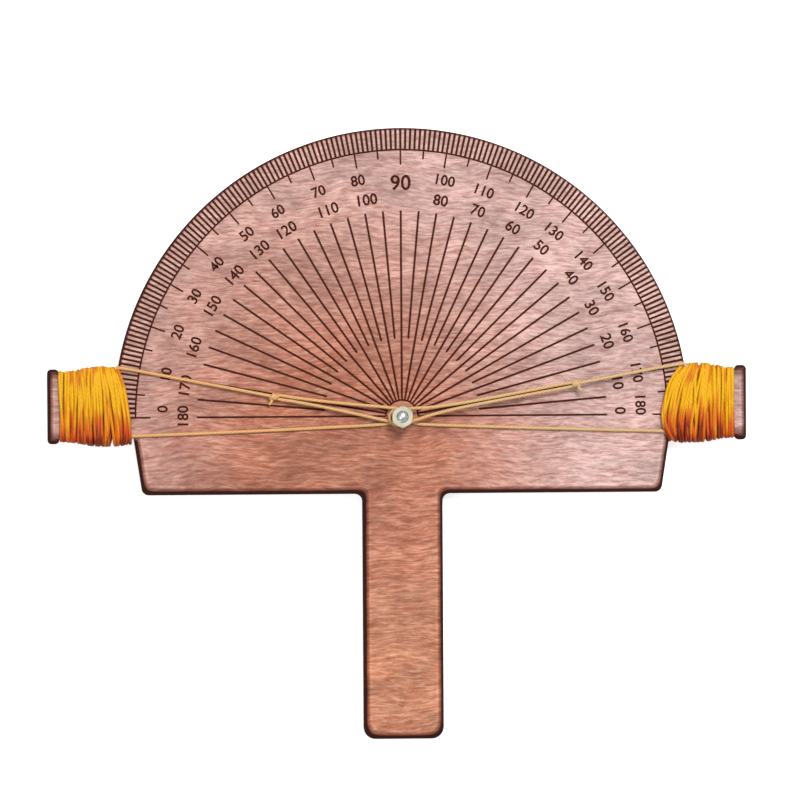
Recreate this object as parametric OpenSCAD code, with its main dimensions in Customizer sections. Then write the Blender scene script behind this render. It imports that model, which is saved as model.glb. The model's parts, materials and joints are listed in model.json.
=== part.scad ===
// String protractor: a plywood half disc with a degree scale, a flat handle and an ear at each side.
// A machine screw stands at the centre of the scale, and a cord runs from it to the coil on each ear.
// The board lies on its back: +Z is the engraved face, -Y is the end of the handle.

/* [Board] */
// Radius of the graduated rim
disc_r = 100; // [95:1:130]
// Thickness of the plywood
board_t = 4; // [3:0.5:6]
// Radius of the sanded edge, on both faces
edge_r = 1.2; // [0.6:0.1:1.4]
// Depth of the apron below the pivot
apron_drop = 27; // [24:0.5:34]
// Amount by which the apron's lower corners stand inside the rim, on each side
apron_inset = 9.4; // [8:0.2:14]
// Lean of the apron's sides from upright, in degrees
apron_lean = 8.6; // [0:0.2:12]
// Radius of the apron's lower corners
apron_corner_r = 2.6; // [2.5:0.1:6]

/* [Scale] */
// Width of an engraved line
mark_w = 0.6; // [0.3:0.1:0.8]
// Depth of the engraving
mark_depth = 0.3; // [0.2:0.1:0.6]
// Length of a degree mark, from the rim to the inner arc
degree_len = 7.6; // [6:0.2:10]
// Amount by which a mark at five degrees runs past the inner arc
five_extra = 3; // [2:0.1:4]
// Amount by which a mark at ten degrees runs past the inner arc
ten_extra = 5.2; // [4:0.1:7]
// Radius of the small arc round the pivot
hub_arc_r = 5.6; // [5.5:0.1:8]
// Distance from the rim to the outer ends of the rays
ray_inset = 28.8; // [24:0.2:34]
// Distance from the pivot to the inner ends of the short rays
short_ray_r = 26.9; // [18:0.1:40]

/* [Handle] */
// Width of the handle
handle_w = 28; // [20:1:40]
// Length of the handle below the apron
handle_len = 85.5; // [60:0.5:120]
// Radius of the corners at the end of the handle
handle_corner_r = 4.2; // [2.6:0.2:8]
// Radius of the inside corners between handle and apron
handle_fillet_r = 2.6; // [1.5:0.1:6]

/* [Ears] */
// Length of the left ear beyond the rim
left_ear_len = 23; // [20:0.5:30]
// Length of the right ear beyond the rim
right_ear_len = 20; // [19:0.5:30]
// Height of the ears' middle above the pivot
ear_rise = 4; // [2:0.5:5]
// Height of the neck that the cord is wound on
neck_h = 22.2; // [18:0.2:24]
// Amount by which each lip stands out from the neck
lip_h = 1.9; // [1.4:0.1:3]
// Length of the lips along the ear
lip_len = 4; // [3:0.1:6]
// Radius of the lips' corners
lip_corner_r = 1.4; // [1.4:0.1:1.5]

/* [Pivot] */
// Diameter of the machine screw
screw_d = 4; // [3:0.5:5]
// Radial room round the screw in the board and the washer
screw_room = 0.15; // [0.05:0.05:0.3]
// Radial room between the screw and the nut's thread
nut_room = 0.04; // [0.02:0.01:0.06]
// Diameter of the screw's button head, on the back
head_d = 7.6; // [7:0.1:10]
// Height of the button head
head_h = 2.2; // [1.8:0.1:2.5]
// Width of the head's hexagon socket across its flats
socket_w = 2.5; // [2:0.5:3]
// Depth of the socket
socket_depth = 1.3; // [0.8:0.1:1.4]
// Diameter of the washer under the head
washer_d = 9; // [8.5:0.5:12]
// Thickness of the washer
washer_t = 0.8; // [0.5:0.1:0.9]
// Width of the nut across its flats
nut_w = 7; // [6.8:0.1:10]
// Height of the nut
nut_h = 3.2; // [2:0.1:5]
// Length of screw that stands proud of the nut
end_proud = 1.1; // [0.8:0.1:3]

/* [Cord] */
// Diameter of the cord
cord_d = 1.3; // [1:0.1:1.4]
// Gap between stacked cords, and between a cord and what it passes
cord_gap = 0.3; // [0.25:0.05:0.4]
// Slack of the left eye past the screw
left_slack = 0.4; // [0:0.1:2]
// Slack of the right eye past the screw
right_slack = 1.7; // [0:0.1:2.5]
// Distance of the left knot from the pivot
left_knot_reach = 44.7; // [30:0.1:60]
// Distance of the right knot from the pivot
right_knot_reach = 61.2; // [40:0.1:75]
// Diameter of a knot
knot_d = 2.8; // [2.4:0.1:3]
// Length of a knot along the cord
knot_len = 3.4; // [3:0.1:5]

/* [Coils] */
// Length of the left coil with the ear's tip, along the ear
left_coil_len = 27; // [22:0.5:30]
// Length of the right coil with the ear's tip, along the ear
right_coil_len = 26.5; // [22:0.5:30]
// Build-up of the coil over the neck at its thickest
coil_build = 3.4; // [3.3:0.1:4.5]
// Build-up of the coil beside the lips
coil_tip_build = 1.4; // [1.3:0.1:2]
// Room between the coil and the wood
coil_room = 0.15; // [0.1:0.05:0.3]
// Lean of the coil's inner end, in degrees
coil_lean = 8; // [0:1:12]

/* [Hidden] */

wood = [0.78, 0.52, 0.42];
steel = [0.75, 0.75, 0.77];
gold = [0.93, 0.68, 0.18];

apron_half = disc_r - apron_inset;
reach_down = apron_drop + handle_len;
left_reach = disc_r + left_ear_len;
right_reach = disc_r + right_ear_len;
// The origin is the middle of the footprint, so the pivot stands a little above it and beside it.
pivot_x = (left_reach - right_reach) / 2;
pivot_y = (reach_down - disc_r) / 2;
back_z = coil_build;
face_z = back_z + board_t;
tip_h = neck_h + 2 * lip_h;

cord_r = cord_d / 2;
level_step = cord_d + cord_gap;
base_z = face_z + cord_gap + cord_r;
left_z = base_z + level_step;
right_z = left_z + level_step;
nut_z = right_z + cord_r + cord_gap;
end_z = nut_z + nut_h + end_proud;
head_z = back_z - washer_t - head_h;
eye_r = screw_d / 2 + cord_gap + cord_r;
left_root = left_reach - left_coil_len;
right_root = right_reach - right_coil_len;
eps = 0.01;

// Side of the plywood as a profile: x is outwards, y is up
module side_profile(reach, sides) {
    intersection() {
        square([reach, board_t]);
        union() {
            square([reach - edge_r, board_t]);
            translate([0, edge_r]) square([reach, board_t - 2 * edge_r]);
            for (z = [edge_r, board_t - edge_r])
                translate([reach - edge_r, z]) circle(r = edge_r, $fn = sides);
        }
    }
}

// Half of the disc of plywood, with a sanded rim
module half_disc() {
    intersection() {
        rotate_extrude($fn = 180) side_profile(disc_r, 32);
        translate([-disc_r - 1, 0, -1]) cube([2 * disc_r + 2, disc_r + 2, board_t + 2]);
    }
}

// Plate of plywood round the given corner centres, with corners of radius r and sanded sides
module plate(corners, r) {
    hull()
        for (c = corners)
            translate([c[0], c[1], 0]) rotate_extrude($fn = 32) side_profile(r, 16);
}

// Corner centres of a box, drawn in by r on every side
function box_corners(x0, x1, y0, y1, r) =
    [[x0 + r, y0 + r], [x1 - r, y0 + r], [x1 - r, y1 - r], [x0 + r, y1 - r]];

// Round hollow with the sanded edge flaring out of it at both faces
module hollow(r) {
    flare = r + edge_r;
    rotate_extrude($fn = 48)
        difference() {
            translate([0, -eps]) square([flare, board_t + 2 * eps]);
            translate([r, edge_r]) square([edge_r + 1, board_t - 2 * edge_r]);
            for (z = [edge_r, board_t - edge_r])
                translate([flare, z]) circle(r = edge_r, $fn = 32);
        }
}

// Band of the upper half plane between two radii
module half_ring(r_in, r_out) {
    difference() {
        intersection() {
            circle(r = r_out, $fn = 180);
            translate([-r_out - 1, 0]) square([2 * r_out + 2, r_out + 1]);
        }
        circle(r = r_in, $fn = 180);
    }
}

// Straight line at an angle, between two radii
module ray(angle, r_in, r_out) {
    rotate(angle) translate([r_in, -mark_w / 2]) square([r_out - r_in, mark_w]);
}

// The engraved scale as the plan of its lines
module scale_plan() {
    arc_r = disc_r - degree_len;
    half_ring(arc_r - mark_w / 2, arc_r + mark_w / 2);
    half_ring(hub_arc_r - mark_w / 2, hub_arc_r + mark_w / 2);
    for (a = [0 : 180])
        ray(a, arc_r - (a % 10 == 0 ? ten_extra : a % 5 == 0 ? five_extra : 0), disc_r + 1);
    for (a = [0 : 5 : 180])
        ray(a, a % 10 == 0 ? hub_arc_r : short_ray_r, disc_r - ray_inset);
}

module apron() {
    r = apron_corner_r;
    low = r - apron_drop;
    x_low = apron_half - r;
    x_top = x_low + (ear_rise - low) * tan(apron_lean);
    plate([[-x_low, low], [x_low, low], [x_top, ear_rise], [-x_top, ear_rise]], r);
}

// Handle with the curved inside corners that join it to the apron
module handle() {
    half = handle_w / 2;
    r = handle_fillet_r;
    plate(box_corners(-half, half, -reach_down, 0, handle_corner_r), handle_corner_r);
    for (side = [0, 1]) mirror([side, 0, 0])
        difference() {
            translate([half - edge_r, -apron_drop - r, 0]) cube([r + edge_r, r + edge_r, board_t]);
            translate([half + r, -apron_drop - r, 0]) hollow(r);
        }
}

// The neck runs through the board from ear to ear, and each ear ends in a lipped tip.
module ears() {
    short = lip_len - lip_corner_r;
    translate([short - left_reach, ear_rise - neck_h / 2, 0])
        cube([left_reach + right_reach - 2 * short, neck_h, board_t]);
    for (x = [-left_reach, right_reach - lip_len])
        translate([0, ear_rise, 0])
            plate(box_corners(x, x + lip_len, -tip_h / 2, tip_h / 2, lip_corner_r), lip_corner_r);
}

module board() {
    color(wood)
        translate([pivot_x, pivot_y, back_z])
            difference() {
                union() {
                    half_disc();
                    apron();
                    handle();
                    ears();
                }
                translate([0, 0, -1]) cylinder(d = screw_d + 2 * screw_room, h = board_t + 2, $fn = 48);
                translate([0, 0, board_t - mark_depth])
                    linear_extrude(mark_depth + 1) scale_plan();
            }
}

// Button head with its socket, the shank, and the rounded end past the nut
module pivot_screw() {
    dome = end_proud * 0.8;
    color(steel)
        translate([pivot_x, pivot_y, 0])
            difference() {
                union() {
                    rotate_extrude($fn = 64)
                        polygon([
                            [0, head_z], [head_d * 0.28, head_z], [head_d * 0.41, head_z + head_h * 0.28],
                            [head_d * 0.48, head_z + head_h * 0.62], [head_d / 2, head_z + head_h],
                            [0, head_z + head_h]]);
                    translate([0, 0, head_z + head_h])
                        cylinder(d = screw_d, h = end_z - dome - head_z - head_h, $fn = 48);
                    translate([0, 0, end_z - dome])
                        rotate_extrude($fn = 48)
                            intersection() {
                                square([screw_d / 2, dome]);
                                translate([0, dome - screw_d * 0.65])
                                    circle(r = screw_d * 0.65, $fn = 96);
                            }
                }
                translate([0, 0, head_z - eps])
                    cylinder(d = socket_w / cos(30), h = socket_depth + eps, $fn = 6);
            }
}

module back_washer() {
    color(steel)
        translate([pivot_x, pivot_y, back_z - washer_t])
            difference() {
                cylinder(d = washer_d, h = washer_t, $fn = 64);
                translate([0, 0, -1])
                    cylinder(d = screw_d + 2 * screw_room, h = washer_t + 2, $fn = 48);
            }
}

// Hexagon nut with a corner up and a corner down, chamfered at both faces
module front_nut() {
    corner_r = nut_w / 2 / cos(30);
    chamfer = nut_h * 0.14;
    color(steel)
        translate([pivot_x, pivot_y, nut_z])
            difference() {
                intersection() {
                    rotate([0, 0, 30]) cylinder(r = corner_r, h = nut_h, $fn = 6);
                    rotate_extrude($fn = 64)
                        polygon([
                            [0, 0], [nut_w / 2, 0], [corner_r + 0.1, chamfer],
                            [corner_r + 0.1, nut_h - chamfer], [nut_w / 2, nut_h], [0, nut_h]]);
                }
                translate([0, 0, -1])
                    cylinder(r = screw_d / 2 + nut_room, h = nut_h + 2, $fn = 48);
            }
}

// Cross-section of the coil round the neck, as a thin slice that stands across the ear
module coil_slice(x, build, lean) {
    half_h = neck_h / 2 + build;
    half_t = board_t / 2 + build;
    round_r = half_t * 0.8;
    translate([x, ear_rise, back_z + board_t / 2])
        rotate([0, 90, -lean])
            linear_extrude(eps)
                hull()
                    for (z = [-1, 1], y = [-1, 1])
                        translate([z * (half_t - round_r), y * (half_h - round_r)]) circle(r = round_r, $fn = 32);
}

// Coil on an ear that reaches out to the right: each slice has its distance from the ear's tip,
// its build-up and its lean
module coil(slices, reach) {
    difference() {
        for (i = [0 : len(slices) - 2])
            hull()
                for (s = [slices[i], slices[i + 1]])
                    coil_slice(reach - s[0], s[1], s[2]);
        translate([0, 0, back_z - coil_room]) {
            cylinder(r = disc_r + coil_room, h = board_t + 2 * coil_room, $fn = 180);
            translate([0, ear_rise - neck_h / 2 - coil_room, 0])
                cube([reach, neck_h + 2 * coil_room, board_t + 2 * coil_room]);
        }
    }
}

coil_end = lip_len + cord_gap;
left_slices = [
    [left_coil_len, 2.4, coil_lean], [left_coil_len - 3.5, coil_build, coil_lean / 2],
    [11.5, coil_build - 0.1, 0], [8.5, 1.9, 0], [coil_end, coil_tip_build, 0]];
right_slices = [
    [right_coil_len, 2.6, coil_lean], [right_coil_len - 3.9, coil_build, coil_lean / 2],
    [12, coil_build - 0.2, 0], [8.5, 1.8, 0], [coil_end, coil_tip_build, 0]];

module left_coil() {
    color(gold) translate([pivot_x, pivot_y, 0]) mirror([1, 0, 0]) coil(left_slices, left_reach);
}

module right_coil() {
    color(gold) translate([pivot_x, pivot_y, 0]) coil(right_slices, right_reach);
}

function unit(v) = v / norm(v);

// Direction of a route at point i
function along(route, i) =
    unit(route[min(i + 1, len(route) - 1)] - route[max(i - 1, 0)]);

// Cord swept along a route, with eight sides and one ring at each point
module tube(route, d = cord_d) {
    sides = 8;
    n = len(route);
    rings = [for (i = [0 : n - 1])
        let (t = along(route, i), s = unit(cross(t, [0, 0, 1])), u = cross(s, t))
            for (k = [0 : sides - 1])
                route[i] + d / 2 * (cos(360 * k / sides) * s + sin(360 * k / sides) * u)];
    walls = [for (i = [0 : n - 2], k = [0 : sides - 1])
        let (a = i * sides + k, b = i * sides + (k + 1) % sides)
            each [[a, a + sides, b + sides], [a, b + sides, b]]];
    caps = [
        [for (k = [0 : sides - 1]) k],
        [for (k = [sides - 1 : -1 : 0]) (n - 1) * sides + k]];
    polyhedron(points = rings, faces = concat(walls, caps), convexity = 6);
}

// The base cord hangs on the upper side of the screw, and its two halves run down to the coils.
base_left = [[1.9 - left_root, -6.3], [-75, -5.7], [-50, -4.8], [-25, -3.7], [-8, -2.9], [-4.4, -2.4]];
base_right = [[4.4, -2.4], [8, -2.9], [25, -3.6], [50, -4.5], [75, -5.3], [right_root - 1.9, -5.8]];
base_turn = [for (a = [205 : -25 : -25]) eye_r * [cos(a), sin(a)]];
base_route = [for (p = concat(base_left, base_turn, base_right)) [p[0] + pivot_x, p[1] + pivot_y, base_z]];

module base_cord() {
    color(gold) tube(base_route);
}

// Eye along its own axis: one strand in from the knot, round the screw, and back out to the knot
function eye_route(reach, slack) =
    let (start = reach - knot_len / 2 - 0.1, root = cord_r + 0.12, turn = [for (a = [70 : 20 : 290]) a])
        concat(
            [for (u = [start, start * 0.66, start * 0.33]) [u, root + (eye_r - root) * (1 - u / start)]],
            [for (a = turn) [eye_r * cos(a) - slack, eye_r * sin(a)]],
            [for (u = [start * 0.33, start * 0.66, start]) [u, -root - (eye_r - root) * (1 - u / start)]]);

// A flat route turned to the line's angle at the pivot, sinking from z0 by the given drop at its reach
function laid(route, angle, z0, drop, reach) =
    [for (p = route)
        [p[0] * cos(angle) - p[1] * sin(angle) + pivot_x,
         p[0] * sin(angle) + p[1] * cos(angle) + pivot_y,
         z0 - drop * max(p[0], 0) / reach]];

left_angle = 170.8;
right_angle = 10.3;
left_knot_drop = 0.5;
right_knot_drop = 0.5;

module left_eye() {
    color(gold)
        tube(laid(eye_route(left_knot_reach, left_slack), left_angle, left_z, left_knot_drop, left_knot_reach));
}

module right_eye() {
    color(gold)
        tube(laid(eye_route(right_knot_reach, right_slack), right_angle, right_z, right_knot_drop, right_knot_reach));
}

// Overhand knot as three turns side by side round a core, with its trimmed tail
module knot(angle, z, reach, tail_angle) {
    turn_r = (knot_d - cord_d * 0.8) / 2;
    translate([reach * cos(angle) + pivot_x, reach * sin(angle) + pivot_y, z])
        rotate([0, 0, angle])
            union() {
                rotate([0, 90, 0]) {
                    cylinder(r = turn_r, h = knot_len * 0.98, center = true, $fn = 32);
                    for (i = [-1, 0, 1])
                        translate([0, 0, i * knot_len * 0.3])
                            rotate_extrude($fn = 32)
                                translate([turn_r, 0]) circle(d = cord_d * 0.8, $fn = 20);
                }
                rotate([0, 90, tail_angle])
                    cylinder(d = cord_d * 0.8, h = knot_d * 1.2, $fn = 20);
            }
}

module left_knot() {
    color(gold) knot(left_angle, left_z - left_knot_drop, left_knot_reach, 62);
}

module right_knot() {
    color(gold) knot(right_angle, right_z - right_knot_drop, right_knot_reach, -58);
}

// The lines run from the knots to the shoulders of the coils.
left_points = [[-60, 10.2, 1.75], [-78, 13.8, 1.5], [0.4 - left_root, 17.2, 1.3]];
right_points = [[75, 13.8, 3.4], [86, 15.8, 3.15], [right_root - 0.2, 17.1, 3.0]];

// Start of a line, just past its knot
function line_start(reach, angle, z) =
    let (r = reach + knot_len / 2 + 0.1) [r * cos(angle) + pivot_x, r * sin(angle) + pivot_y, z];

function lifted(points) = [for (p = points) [p[0] + pivot_x, p[1] + pivot_y, face_z + p[2]]];

module left_line() {
    color(gold)
        tube(concat([line_start(left_knot_reach, left_angle, left_z - left_knot_drop)], lifted(left_points)));
}

module right_line() {
    color(gold)
        tube(concat([line_start(right_knot_reach, right_angle, right_z - right_knot_drop)], lifted(right_points)));
}

board();
pivot_screw();
back_washer();
front_nut();
left_coil();
right_coil();
base_cord();
left_eye();
left_knot();
left_line();
right_eye();
right_knot();
right_line();
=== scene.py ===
"""Looks of the string protractor, laid out as an add-on and run as a script."""

import json
import math
from functools import partial

import bpy
import numpy as np
from bpy.props import FloatProperty, FloatVectorProperty, IntProperty, PointerProperty
from bpy.types import Operator, Panel, PropertyGroup
from mathutils import Matrix, Vector


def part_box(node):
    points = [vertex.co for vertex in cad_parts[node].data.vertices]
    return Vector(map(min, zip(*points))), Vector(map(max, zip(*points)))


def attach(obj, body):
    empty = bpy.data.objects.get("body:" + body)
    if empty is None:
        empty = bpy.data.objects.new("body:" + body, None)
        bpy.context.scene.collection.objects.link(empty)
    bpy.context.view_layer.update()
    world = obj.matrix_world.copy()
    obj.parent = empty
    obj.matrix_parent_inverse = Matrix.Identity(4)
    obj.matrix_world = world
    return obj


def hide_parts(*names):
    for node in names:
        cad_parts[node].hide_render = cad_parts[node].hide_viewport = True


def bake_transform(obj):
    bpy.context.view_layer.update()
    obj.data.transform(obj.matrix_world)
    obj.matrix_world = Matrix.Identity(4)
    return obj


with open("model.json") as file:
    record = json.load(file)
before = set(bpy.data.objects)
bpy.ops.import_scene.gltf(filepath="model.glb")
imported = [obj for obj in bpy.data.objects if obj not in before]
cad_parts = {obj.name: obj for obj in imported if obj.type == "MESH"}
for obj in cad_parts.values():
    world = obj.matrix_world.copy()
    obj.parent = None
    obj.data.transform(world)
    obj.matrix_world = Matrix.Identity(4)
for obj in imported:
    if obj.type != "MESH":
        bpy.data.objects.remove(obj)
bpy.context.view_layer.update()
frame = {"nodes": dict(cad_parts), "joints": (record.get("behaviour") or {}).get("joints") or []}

bl_info = {
    "name": "String protractor",
    "version": (1, 0, 0),
    "blender": (4, 5, 0),
    "location": "3D View > Sidebar > Protractor",
    "description": "Builds the plywood board, the screw and the cords of a string protractor",
    "category": "Object",
}

MM = 0.001
BOARD_LOW, BOARD_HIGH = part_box("board")
BACK_Z, FACE_Z = BOARD_LOW.z, BOARD_HIGH.z
PIVOT = Vector(frame["joints"][0]["pos_m"][:2])
# How far each string swings, at its joint's limit.
SWING = math.radians(150)
MARK_DEPTH = 0.3 * MM
# Height of a digit in Blender's own font, for a text of size 1.
CAP_HEIGHT = 0.7

# The disc, and how far down from the pivot it reaches into the apron.
DISC_R = 100 * MM
DISC_OVERLAP = 3 * MM
# The apron: its half width at the pivot's height, its flanks' slope, how far it reaches up into the disc
# and down, and its rounding.
APRON_HALF_W = 94.3 * MM
APRON_SLOPE = 0.15
APRON_RISE, APRON_DROP = 6 * MM, 27 * MM
ROUND_APRON = 4.6 * MM
# The handle: its half width, where it begins and ends, down from the pivot, and its rounding.
HANDLE_HALF_W = 14 * MM
HANDLE_TOP_DROP, HANDLE_DROP = 15 * MM, 112.5 * MM
ROUND_HANDLE = 7.4 * MM
# The ears: their middle's height over the pivot, their tips, and the necks that carry the coils.
EAR_LIFT = 4 * MM
EAR_Y = PIVOT.y + EAR_LIFT
TIP_HALF_H = 13 * MM
REACH = (BOARD_HIGH.x - BOARD_LOW.x) / 2
NECK_HALF_H = 11.1 * MM
NECK_HALF_T = (FACE_Z - BACK_Z) / 2
NECK_Z = (FACE_Z + BACK_Z) / 2

# How far the burnt band is drawn out to the left, and as far down: painted shade on the edges that face away
# from the light.
PAINTED_SHADE_DRIFT = 0.2 * MM
# Distances from the pivot over which the scorch beside the long and the short rays sets in, over which it
# ends, and over which the sanded band of degree marks begins.
LONG_RAY_R, SHORT_RAY_R = (7.0 * MM, 8.0 * MM), (26.9 * MM, 27.2 * MM)
FAN_R, BAND_R = (71.4 * MM, 71.1 * MM), (91.6 * MM, 93.0 * MM)
# Thickness of a ply, and the width over which the edge's brown band and its painted highlight go inwards.
PLY = 1.208 * MM
EDGE_BAND_W = 2.5 * MM
# Distances between a cord's rings: along a run, in a knot, and in a coil.
RUN_STEP, KNOT_STEP, COIL_STEP = 0.3 * MM, 0.2 * MM, 0.55 * MM

# Clockwise shifts of the numbers from their marks, in millimetres, as on the real scale.
OUTER_SHIFTS = {0: 3.0, 10: 0.9, 20: 1.4, 30: 0.7, 40: -0.4, 60: -1.3, 80: -0.4, 100: 1.2, 110: 0.8,
                120: 1.9, 150: -1.4, 180: -3.2}
INNER_SHIFTS = {0: -1.4, 10: 2.3, 20: 0.5, 30: 1.0, 40: 1.2, 60: 1.1, 70: 0.9, 80: 0.7, 100: 1.7, 110: 1.1,
                120: -1.7, 140: 0.9, 150: 1.0, 160: -1.5, 170: -1.9, 180: 0.7}


def linear(colour):
    """Linear red, green and blue of an sRGB hex colour."""
    parts = [int(colour[i:i + 2], 16) / 255 for i in (0, 2, 4)]
    return tuple(c / 12.92 if c <= 0.04045 else ((c + 0.055) / 1.055) ** 2.4 for c in parts)


def opaque(colour):
    return (*colour, 1.0)


# Settings

def size_setting(name, description, default, unit="LENGTH"):
    return FloatProperty(name=name, description=description, default=default, unit=unit, precision=5)


def colour_setting(name, description, colour):
    return FloatVectorProperty(
        name=name, description=description, default=linear(colour), subtype="COLOR", min=0, max=1)


class BoardSettings(PropertyGroup):
    """Numbers and colours of the plywood board"""
    number_h: size_setting("Outer numbers", "Height of the outer row of numbers", 3.75 * MM)
    number_r: size_setting("Outer row", "Radius of the outer numbers' middle", 83.1 * MM)
    inner_h: size_setting("Inner numbers", "Height of the inner row of numbers", 3.9 * MM)
    inner_r: size_setting("Inner row", "Radius of the inner numbers' middle", 76.0 * MM)
    middle_h: size_setting("Middle number", "Height of the 90 that both rows share", 5.4 * MM)
    middle_r: size_setting("Middle radius", "Radius of the 90's middle", 81.0 * MM)
    bolder: size_setting("Bolder", "Amount by which each digit's strokes are widened", 0.12 * MM)
    left_tint: colour_setting("Left veneer", "Veneer towards the left ear", "B79188")
    right_tint: colour_setting("Right veneer", "Veneer towards the right ear", "C4A49F")
    middle_tint: colour_setting("Middle veneer", "Veneer round the pivot and the apron", "A96A50")
    handle_tint: colour_setting("Handle veneer", "Veneer of the handle", "BE8265")
    figure: colour_setting("Figure", "Pale cream of the light streaks", "E8C6B4")
    sanded: colour_setting("Sanded edge", "Brown of the sanded shoulder", "5E2C1C")
    charred: colour_setting("Charred edge", "Near black of the laser-cut edge", "280C05")
    engraving: colour_setting("Engraving", "Brown of the engraved lines", "451B12")


class MetalSettings(PropertyGroup):
    """Sizes and colour of the screw, washer and nut"""
    screw_d: size_setting("Screw", "Diameter of the machine screw", 4 * MM)
    pitch: size_setting("Pitch", "Pitch of the screw's thread", 0.7 * MM)
    nut_w: size_setting("Nut", "Width of the nut across its flats", 7 * MM)
    zinc: colour_setting("Zinc", "Reflection colour of the screw's zinc", "DEE2E6")
    # The nut's warm tint is partly its yellow passivation and partly a painted reflection of the golden cords
    # and the wood.
    passivated: colour_setting("Passivated zinc", "Reflection colour of the nut's yellowish zinc", "CEC8B2")


class CordSettings(PropertyGroup):
    """Sizes and colours of the cord"""
    cord_d: size_setting("Diameter", "Diameter of the twisted cord", 1.15 * MM)
    lay: size_setting("Lay", "Length of one full twist of the three plies", 5.0 * MM)
    run_tint: colour_setting("Left runs", "Gold of the taut runs on the left", "DEAC74")
    run_shade: colour_setting("Right runs", "Paler, greyer gold of the taut runs on the right", "D4B384")
    # Below its bright yellow, the coil's colours paint shade: darker towards the lower side of the ear, and a
    # little at the top.
    coil_tint: colour_setting("Coil", "Bright yellow of the wound cord", "E8B008")
    coil_warm: colour_setting("Middle of the coil", "Golden orange half way down", "D67E0C")
    coil_low: colour_setting("Lower part of the coil", "Red orange of the lower part", "CA4E10")
    coil_foot: colour_setting("Foot of the coil", "Brown red of the lowest turns", "862C10")
    left_turns: IntProperty(
        name="Left turns", description="Turns in the left coil's first layer", default=18)
    right_turns: IntProperty(
        name="Right turns", description="Turns in the right coil's first layer", default=17)


class StageSettings(PropertyGroup):
    """Camera, light and floor"""
    far: size_setting("Distance", "Distance of the camera from the board", 1.3)
    seen: size_setting("View", "Width of board that fills the picture", 0.2778)
    yaw: size_setting("Yaw", "Angle by which the camera stands to the left", math.radians(1.5), "ROTATION")
    pitch: size_setting("Pitch", "Angle by which the camera stands above", math.radians(1.5), "ROTATION")
    roll: size_setting("Roll", "Angle by which the picture is turned", math.radians(0.35), "ROTATION")
    floor: colour_setting("Floor", "Colour of the floor", "F4F4F4")


# Modelling helpers

def deselect():
    if bpy.context.object and bpy.context.object.mode != "OBJECT":
        bpy.ops.object.mode_set(mode="OBJECT")
    bpy.ops.object.select_all(action="DESELECT")


def pick(*objects):
    """Selects these objects alone, the first one active."""
    deselect()
    for o in objects:
        o.select_set(True)
    bpy.context.view_layer.objects.active = objects[0]


def edit(o, action, test=None):
    """Runs an edit-mode action on the edges of o that pass the test, or on all of o."""
    pick(o)
    bpy.ops.object.mode_set(mode="EDIT")
    bpy.ops.mesh.select_mode(type="EDGE" if test else "FACE")
    bpy.ops.mesh.select_all(action="DESELECT" if test else "SELECT")
    if test:
        bpy.ops.object.mode_set(mode="OBJECT")
        for e in o.data.edges:
            e.select = test(*(o.data.vertices[i].co for i in e.vertices))
        bpy.ops.object.mode_set(mode="EDIT")
    action()
    bpy.ops.object.mode_set(mode="OBJECT")


def cut(o, tool, operation="DIFFERENCE"):
    """Cuts o with a tool, or joins it to the tool, and takes the tool away."""
    pick(o)
    change = o.modifiers.new("Cut", "BOOLEAN")
    change.operation, change.solver, change.object = operation, "MANIFOLD", tool
    bpy.ops.object.modifier_apply(modifier=change.name)
    bpy.data.objects.remove(tool)


def apply_place(o):
    pick(o)
    bpy.ops.object.transform_apply(location=True, rotation=True, scale=True)


def smooth(o, angle):
    """Smooth shading with sharp edges over an angle, and flat faces kept flat to the eye."""
    pick(o)
    bpy.ops.object.shade_smooth_by_angle(angle=angle)
    weigh = o.modifiers.new("Weigh", "WEIGHTED_NORMAL")
    weigh.mode, weigh.weight, weigh.keep_sharp = "FACE_AREA", 100, True
    bpy.ops.object.modifier_apply(modifier=weigh.name)


def cylinder(name, radius, low, high, sides=72):
    """Upright cylinder between two heights, about the pivot's axis."""
    deselect()
    bpy.ops.mesh.primitive_cylinder_add(
        vertices=sides, radius=radius, depth=high - low, location=(*PIVOT, (low + high) / 2))
    o = bpy.context.object
    o.name = o.data.name = name
    apply_place(o)
    return o


def hexagon_r(width):
    """Radius to the corners of a hexagon, from its width across the flats."""
    return width / 2 / math.cos(math.pi / 6)


def weld(o, distance=0.0001 * MM):
    """Merges the points of o that lie within a distance of each other."""
    edit(o, lambda: bpy.ops.mesh.remove_doubles(threshold=distance))


def bevel_rim(o, radius, z, width, segments, profile=0.5):
    """Bevels the round rim that lies at a radius and a height."""
    def on_rim(a, b):
        misses = [(abs(p.z - z), abs((p.xy - PIVOT).length - radius)) for p in (a, b)]
        return all(up < 0.001 * MM and out < 0.01 * MM for up, out in misses)

    edit(o, lambda: bpy.ops.mesh.bevel(offset=width, segments=segments, profile=profile), on_rim)


def finish_piece(o, body, node):
    """Lets a piece ride on its body, and lets it stand for a CAD node."""
    if body:
        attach(o, body)
    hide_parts(node)


# Materials

# Settings that come back: a range with soft ends, two colours mixed, and one multiplied by the other. A Mix
# node takes the share at input 0 and the two colours at inputs 6 and 7.
SOFT = {"interpolation_type": "SMOOTHSTEP"}
BLEND = {"data_type": "RGBA"}
SHADE = {"data_type": "RGBA", "blend_type": "MULTIPLY"}


def fill(node, inputs):
    """Fills inputs, by place or by name, each with a value, an output, or a node's first live output."""
    pairs = inputs.items() if isinstance(inputs, dict) else enumerate(inputs)
    for socket, value in pairs:
        if isinstance(value, bpy.types.Node):
            value = next(o for o in value.outputs if o.enabled)
        if isinstance(value, bpy.types.NodeSocket):
            node.id_data.links.new(value, node.inputs[socket])
        else:
            node.inputs[socket].default_value = value


def add_node(owner, kind, inputs=(), stops=(), **settings):
    """Adds one node to a material or a world, with its settings, its colour stops and its inputs."""
    made = owner.node_tree.nodes.new("ShaderNode" + kind)
    for name, value in settings.items():
        setattr(made, name, value)
    if stops:
        elements = made.color_ramp.elements
        while len(elements) < len(stops):
            elements.new(1.0)
        for element, (place, colour) in zip(elements, stops):
            element.position, element.color = place, colour
    fill(made, inputs)
    return made


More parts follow.
